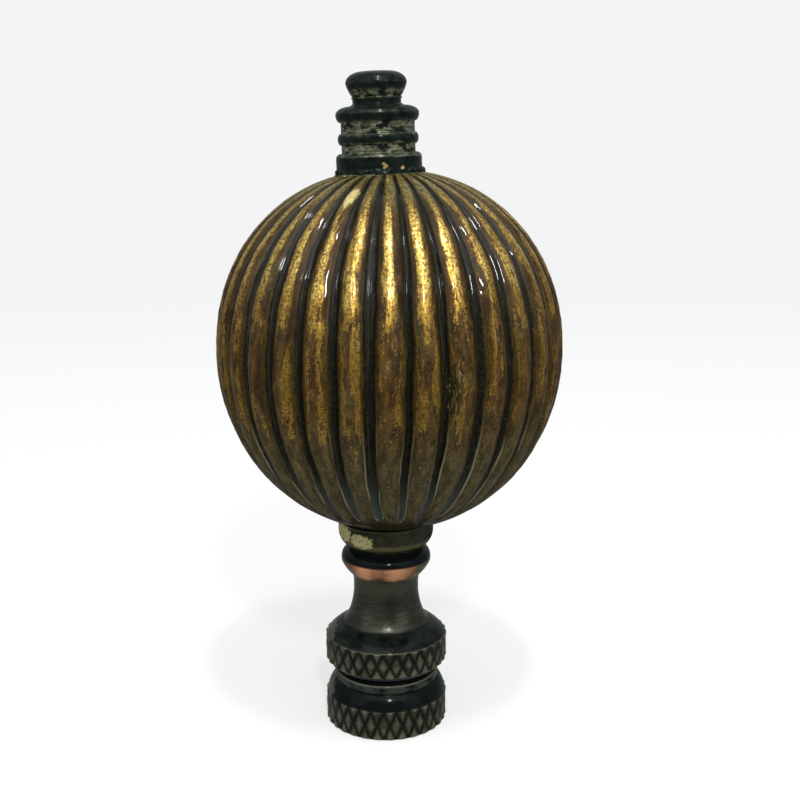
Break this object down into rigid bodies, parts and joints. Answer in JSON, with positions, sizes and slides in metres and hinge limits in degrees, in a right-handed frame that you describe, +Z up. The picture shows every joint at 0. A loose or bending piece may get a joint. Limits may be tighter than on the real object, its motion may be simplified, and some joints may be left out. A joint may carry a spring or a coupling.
{
  "type": "lamp shade finial",
  "caption": "Turned lamp shade finial with a ribbed gilt ball between a stepped knob cap and a diamond-knurled base; it screws onto a lamp harp to hold the shade down.",
  "frame": {"origin": "centre of the threaded socket's mouth, in the plane of the flat underside", "axes": "+Z up along the finial, -Y towards the pictured front, +X to the right in the picture"},
  "size_m": [0.0343, 0.0343, 0.0664],
  "materials": {
    "base_brass": "dark oxidised bronze tone with worn knurl tips, glossy shoulders and a copper-coloured worn flange edge",
    "cup_brass": "dull olive brown with a patch of pale leaf",
    "ball_gilt": "cast resin, gilded, rubbed with dark glaze in the grooves and lacquered",
    "cap_brass": "near-black oxidised with worn olive brass in the grooves"
  },
  "bodies": {
    "root": {"knurled_base": "base_brass", "seat_cup": "cup_brass", "fluted_ball": "ball_gilt", "top_cap": "cap_brass"}
  },
  "joints": []
}
